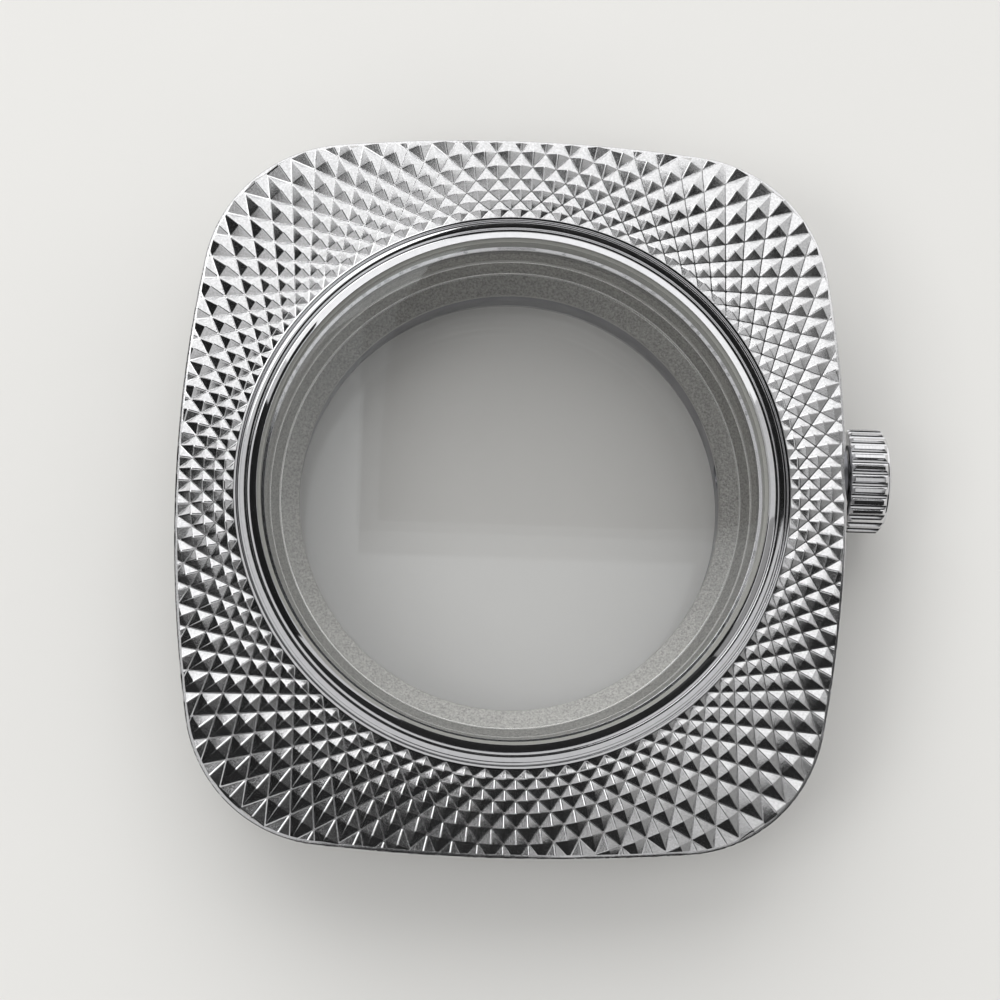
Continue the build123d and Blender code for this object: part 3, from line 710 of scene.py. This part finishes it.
@dataclass
class GlassRing(Fitting):
    """The polished stepped ring, both glasses and the blasted flange.

    A size named for a top, floor, bottom, shelf or height is a height over the case's back. Edges,
    chamfers and margins are widths, and the glass's crown is its rise. All others are radii.
    """

    steps: int = 360
    ring_edge: float = 0.025
    glass_edge: float = 0.02
    flange_edge: float = 0.05
    ring_bore: float = 16.2
    ring_bottom: float = 8.4
    foot: float = 18.2
    foot_top: float = 8.97
    wall: float = 17.3
    wall_top: float = 11.35
    outer_groove: Point = (17.1, 16.9)
    outer_groove_floor: float = 11.15
    land_top: float = 11.5
    inner_groove: Point = (16.5, 16.3)
    inner_groove_floor: float = 11.4
    lip_top: float = 11.55
    lip_inner_top: float = 11.85
    shelf: float = 9.1
    crystal_radius: float = 15.65
    crystal_seat: float = 15.85
    crystal_ledge: float = 15.45
    crystal_bottom: float = 10.2
    crystal_edge_top: float = 11.7
    crystal_crown: float = 0.25
    crystal_chamfer: float = 0.15
    back_radius: float = 14.65
    back_height: float = 1.2
    glass_middle: float = 0.2
    flat_margin: float = 0.2
    glass_angles: tuple[int, ...] = (*DOME_ANGLES, 89)
    flange_rim: float = 16.15
    flange_bottom: float = 6.35
    step_tops: Point = (8.25, 7.25)
    step_floors: Point = (8.0, 7.0)
    window: float = 13.4
    window_top: float = 6.45
    window_bottom: float = 5.95
    spigot: float = 15.15

    def ring(self) -> bpy.types.Object:
        """Turn the stepped ring from its foot to the ledge under the glass.

        Returns:
            The piece.
        """
        profile = [
            (self.ring_bore, self.ring_bottom),
            (self.foot, self.ring_bottom),
            (self.foot, self.foot_top),
            (self.wall, self.foot_top),
            (self.wall, self.wall_top),
            (self.outer_groove[0], self.wall_top),
            (self.outer_groove[0], self.outer_groove_floor),
            (self.outer_groove[1], self.outer_groove_floor),
            (self.outer_groove[1], self.land_top),
            (self.inner_groove[0], self.land_top),
            (self.inner_groove[0], self.inner_groove_floor),
            (self.inner_groove[1], self.inner_groove_floor),
            (self.inner_groove[1], self.lip_top),
            (self.crystal_seat, self.lip_inner_top),
            (self.crystal_seat, self.crystal_bottom),
            (self.crystal_ledge, self.crystal_bottom),
            (self.crystal_ledge, self.shelf),
            (self.ring_bore, self.shelf),
        ]
        piece = turned("stepped_ring", profile, Ends.RING, self.steps)
        soften(piece, self.ring_edge)
        return self.settle(piece, "case", "crystal_ring")

    def glass(self) -> bpy.types.Object:
        """Turn the glass, flat below and crowned above.

        Returns:
            The piece.
        """
        rim = self.crystal_radius - self.crystal_chamfer
        profile = [
            (self.glass_middle, self.crystal_bottom),
            (self.crystal_radius - self.flat_margin, self.crystal_bottom),
            (self.crystal_radius, self.crystal_bottom),
            (self.crystal_radius, self.crystal_edge_top - self.crystal_chamfer),
            (rim, self.crystal_edge_top),
            *domed(rim, self.crystal_edge_top, self.crystal_crown, self.glass_angles),
            (self.glass_middle, self.crystal_edge_top + self.crystal_crown),
        ]
        piece = turned("front_glass", profile, Ends.SOLID, self.steps)
        soften(piece, self.glass_edge)
        return self.settle(piece, "case", "front_crystal")

    def back_glass(self) -> bpy.types.Object:
        """Turn the flat glass of the back.

        Returns:
            The piece.
        """
        chamfer, top = self.crystal_chamfer, self.back_height
        rim = self.back_radius - chamfer
        profile = [
            (self.glass_middle, 0),
            (rim - self.flat_margin, 0),
            (rim, 0),
            (self.back_radius, chamfer),
            (self.back_radius, top - chamfer),
            (rim, top),
            (rim - self.flat_margin, top),
            (self.glass_middle, top),
        ]
        piece = turned("back_glass", profile, Ends.SOLID, self.steps)
        soften(piece, self.glass_edge)
        return self.settle(piece, "back", "back_crystal")

    def flange(self) -> bpy.types.Object:
        """Turn the blasted flange with its two fine steps.

        Returns:
            The piece.
        """
        profile = [
            (self.flange_rim, self.flange_bottom),
            (self.flange_rim, self.shelf),
            (self.crystal_ledge, self.shelf),
            (FLANGE_STEPS[0], self.step_tops[0]),
            (FLANGE_STEPS[0], self.step_floors[0]),
            (FLANGE_STEPS[1], self.step_tops[1]),
            (FLANGE_STEPS[1], self.step_floors[1]),
            (self.window, self.window_top),
            (self.window, self.window_bottom),
            (self.spigot, self.window_bottom),
            (self.spigot, self.flange_bottom),
        ]
        piece = turned("blasted_flange", profile, Ends.RING, self.steps)
        soften(piece, self.flange_edge)
        return self.settle(piece, "case", "inner_flange")


@dataclass
class Crown(Fitting):
    """The fluted crown and its domed cap."""

    start: float = 21.7
    grip: float = 2.35
    cap_radius: float = 2.9
    cap_edge: float = 0.14
    cap_rise: float = 0.32
    cap_spigot: float = 2.3
    cap_depth: float = 0.18
    cap_middle: float = 0.1
    cap_steps: int = 128
    round_edge: float = 0.03
    flute_angle: float = 32.0

    def shell(self) -> bpy.types.Object:
        """Dress the flutes' edges on a copy of the CAD crown.

        Returns:
            The piece.
        """
        piece = merged_copy(self.nodes["crown_shell"], "fluted_crown")
        soften(piece, self.round_edge, angle=self.flute_angle)
        return self.settle(piece, "crown", "crown_shell")

    def cap(self) -> bpy.types.Object:
        """Turn the domed cap.

        Returns:
            The piece.
        """
        profile = [
            (self.cap_spigot, -self.cap_depth),
            (self.cap_spigot, 0.0),
            (self.cap_radius, 0.0),
            (self.cap_radius, self.cap_edge),
            *domed(self.cap_radius, self.cap_edge, self.cap_rise),
            (self.cap_middle, self.cap_edge + self.cap_rise),
        ]
        place = (self.start + self.grip, *CROWN_AXIS)
        piece = turned("crown_cap_dome", profile, Ends.SOLID, self.cap_steps, Axis.CROWN, place)
        soften(piece, self.round_edge)
        return self.settle(piece, "crown", "crown_cap")


@dataclass
class CaseBody(Fitting):
    """The case body, the movement's ring, the back and its screws: merged copies with softened edges."""

    sharp_angle: float = 28.0

    def copy(self, node: str, name: str, body: str, edge: float) -> bpy.types.Object:
        """Copy a node, soften its edges and settle it.

        Args:
            node: The CAD node.
            name: The new piece's name.
            body: The CAD body that it moves with.
            edge: The bevel's width in millimetres.

        Returns:
            The piece.
        """
        piece = merged_copy(self.nodes[node], name)
        soften(piece, edge, angle=self.sharp_angle)
        return self.settle(piece, body, node)


# ---------------------------------------------------------------- stage


class Stand(Enum):
    """How a card stands, as turns about X, Y and Z."""

    ACROSS = (pi / 2, 0.0, 0.0)
    ALONG = (pi / 2, 0.0, pi / 2)
    OVERHEAD = (0.0, 0.0, 0.0)


@dataclass
class Studio:
    """Pale floor, pale surroundings, soft lamps, cards for the steel to mirror, and the camera.

    The floor's side, its clouds and the camera's clip range are in metres.
    """

    floor_colour: str = "DCDBD8"
    floor_side: float = 4.0
    floor_roughness: float = 0.8
    cloud_size: float = 0.025
    cloud_detail: float = 3.0
    cloud_tone: Point = (0.96, 1.0)
    around_colour: str = "E6E6E6"
    around_strength: float = 0.9
    card_roughness: float = 0.9
    sensor: float = 36.0
    clip: Point = (0.01, 20.0)
    camera_place: Place = (-6.3, -24.5, 172.0)
    target: Place = (-0.42, 0.95, 0.0)
    roll: float = 1.55
    lens: float = 94.5
    floor_height: float = -0.03

    def floor(self) -> bpy.types.Object:
        """Lay a plain pale floor under the back, a hair lower so that no face of the glass lies in it.

        Returns:
            The floor.
        """
        bpy.ops.object.select_all(action="DESELECT")
        bpy.ops.mesh.primitive_plane_add(size=self.floor_side, location=(0, 0, self.floor_height * MM))
        piece = bpy.context.object
        piece.name = "floor"
        # Matt emulsion paint on board: an even pale tone with the faintest unevenness
        material = bpy.data.materials.new("matt_painted_board")
        material.use_nodes = True
        tree = material.node_tree
        shader = tree.nodes["Principled BSDF"]
        shader.inputs["Roughness"].default_value = self.floor_roughness
        place = add_node(tree, "ShaderNodeTexCoord").outputs["Object"]
        cloud = add_node(
            tree,
            "ShaderNodeTexNoise",
            {"Scale": 1 / self.cloud_size, "Detail": self.cloud_detail},
            {"Vector": place},
        )
        low, high = self.cloud_tone
        tone = add_node(
            tree, "ShaderNodeMapRange", {"To Min": low, "To Max": high}, {"Value": cloud.outputs["Fac"]}
        )
        tint = add_node(
            tree,
            "ShaderNodeHueSaturation",
            {"Color": linear(self.floor_colour)},
            {"Value": tone.outputs["Result"]},
        )
        tree.links.new(tint.outputs[0], shader.inputs["Base Color"])
        piece.data.materials.append(material)
        return piece

    def surroundings(self) -> None:
        """Light the whole room with one pale tone."""
        world = bpy.data.worlds.new("pale_room")
        bpy.context.scene.world = world
        world.use_nodes = True
        background = world.node_tree.nodes["Background"]
        background.inputs["Color"].default_value = linear(self.around_colour)
        background.inputs["Strength"].default_value = self.around_strength

    def card(
        self, name: str, low: Place, high: Place, stand: Stand, colour: str, glow: float = 0.0
    ) -> bpy.types.Object:
        """Stand a flat card near the case. It shows only where steel or glass mirrors it.

        Args:
            name: The card's name.
            low: Its lowest corner in millimetres.
            high: Its highest corner in millimetres.
            stand: How it stands.
            colour: Its colour.
            glow: How strongly it shines, 0 for a dark card.

        Returns:
            The card.
        """
        spans = [(end - start) * MM for start, end in zip(low, high)]
        width, height = {
            Stand.ACROSS: (spans[0], spans[2]),
            Stand.ALONG: (spans[1], spans[2]),
            Stand.OVERHEAD: (spans[0], spans[1]),
        }[stand]
        bpy.ops.object.select_all(action="DESELECT")
        bpy.ops.mesh.primitive_plane_add(size=1, location=(0, 0, 0))
        piece = bpy.context.object
        piece.name = name
        piece.scale = (width, height, 1)
        piece.rotation_euler = stand.value
        piece.location = [(start + end) / 2 * MM for start, end in zip(low, high)]
        apply_place(piece)
        material = bpy.data.materials.new(name)
        material.use_nodes = True
        shader = material.node_tree.nodes["Principled BSDF"]
        shader.inputs["Base Color"].default_value = linear("000000" if glow else colour)
        shader.inputs["Roughness"].default_value = self.card_roughness
        shader.inputs["Emission Color"].default_value = linear(colour)
        shader.inputs["Emission Strength"].default_value = glow
        material.cycles.emission_sampling = "NONE"
        piece.data.materials.append(material)
        piece.visible_camera = False
        piece.visible_shadow = False
        piece.visible_diffuse = False
        piece.visible_transmission = False
        return piece

    def cards(self) -> None:
        """Stand dark, grey and pale cards round the case, and bright ones beyond 12 and 2 o'clock."""
        black, dark, grey, pale, lighter, white = "0C0C0D", "303030", "707070", "A0A0A0", "B8B8B8", "FFFFFF"
        glow = 1.25
        self.card("dark_card_6", (-100, -60, 0), (120, -60, 62), Stand.ACROSS, black)
        self.card("dark_card_6_high", (-30, -60, 62), (8, -60, 116), Stand.ACROSS, black)
        self.card("dark_card_5_high", (8, -60, 62), (60, -60, 80), Stand.ACROSS, black)
        self.card("grey_card_5_high", (60, -60, 62), (200, -60, 96), Stand.ACROSS, dark)
        self.card("dark_card_9", (-100, -60, 0), (-100, 22, 100), Stand.ALONG, black)
        self.card("dark_card_10", (-100, 22, 0), (-100, 48, 115), Stand.ALONG, black)
        self.card("dark_card_10_high", (-100, 48, 50), (-100, 105, 115), Stand.ALONG, black)
        self.card("dark_card_4_high", (100, -110, 68), (100, -25, 112), Stand.ALONG, black)
        self.card("grey_card_4_high", (100, -110, 112), (100, -25, 190), Stand.ALONG, grey)
        self.card("dark_card_3_high", (100, -25, 68), (100, 8, 190), Stand.ALONG, black)
        self.card("pale_card_3_high", (100, 8, 60), (100, 60, 104), Stand.ALONG, lighter)
        self.card("pale_card_4", (100, -60, 0), (100, 5, 60), Stand.ALONG, pale)
        self.card("dark_card_above", (-12, 12, 120), (85, 104, 120), Stand.OVERHEAD, black)
        self.card("bright_card_2", (100, 60, 60), (100, 130, 140), Stand.ALONG, white, glow)
        self.card("bright_card_12", (-300, 220, 0), (400, 220, 260), Stand.ACROSS, white, glow)

    def lamp(self, name: str, place: Place, size: float, power: float, glossy: bool) -> None:
        """Hang a soft square lamp that points at the case.

        Args:
            name: The lamp's name.
            place: Its place in metres.
            size: Its side in metres.
            power: Its power in watts.
            glossy: Whether steel mirrors it.
        """
        data = bpy.data.lights.new(name, "AREA")
        data.size = size
        data.energy = power
        lamp = bpy.data.objects.new(name, data)
        lamp.location = place
        lamp.rotation_euler = (-Vector(place)).to_track_quat("-Z", "Y").to_euler()
        lamp.visible_glossy = glossy
        bpy.context.scene.collection.objects.link(lamp)

    def camera(self) -> None:
        """Place the camera as in the photograph: over the case, a little towards 6 o'clock."""
        place = Vector(self.camera_place) * MM
        ahead = (Vector(self.target) * MM - place).normalized()
        right = ahead.cross(Vector((0, 1, 0))).normalized()
        up = right.cross(ahead)
        turn = radians(self.roll)
        rolled_right = cos(turn) * right + sin(turn) * up
        rolled_up = cos(turn) * up - sin(turn) * right
        data = bpy.data.cameras.new("camera")
        data.lens = self.lens
        data.sensor_width = self.sensor
        data.clip_start, data.clip_end = self.clip
        camera = bpy.data.objects.new("camera", data)
        basis = Matrix((rolled_right, rolled_up, -ahead)).transposed().to_4x4()
        camera.matrix_world = Matrix.Translation(place) @ basis
        bpy.context.scene.collection.objects.link(camera)
        bpy.context.scene.camera = camera

    def set_up(self) -> None:
        """Build the whole stage."""
        self.floor()
        self.surroundings()
        self.cards()
        self.lamp("key_12", place=(-0.1, 0.5, 0.45), size=0.75, power=3.0, glossy=True)
        self.lamp("fill", place=(-0.4, -0.1, 0.6), size=0.3, power=1.0, glossy=False)
        self.camera()
        bpy.context.scene.view_settings.view_transform = "Standard"


def main() -> None:
    """Load the frame, build the pieces and set up the studio."""
    logging.basicConfig(level=logging.INFO, format="%(name)s: %(message)s")
    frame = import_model()
    slots = {part["node"]: part["material_slot"] for part in frame["record"]["subparts"]}
    materials = Workshop().dress(frame["nodes"], slots)
    shared = (frame["nodes"], materials, slots)
    FrontPlate(*shared).build()
    glass_ring = GlassRing(*shared)
    glass_ring.ring()
    glass_ring.glass()
    glass_ring.back_glass()
    glass_ring.flange()
    crown = Crown(*shared)
    crown.shell()
    crown.cap()
    body = CaseBody(*shared)
    body.copy("mid_case", "case_body", "case", edge=0.05)
    body.copy("movement_ring", "movement_holder", "case", edge=0.03)
    body.copy("caseback_ring", "back_ring", "back", edge=0.04)
    body.copy("caseback_screws", "back_screws", "back", edge=0.02)
    Studio().set_up()


if __name__ == "__main__":
    main()
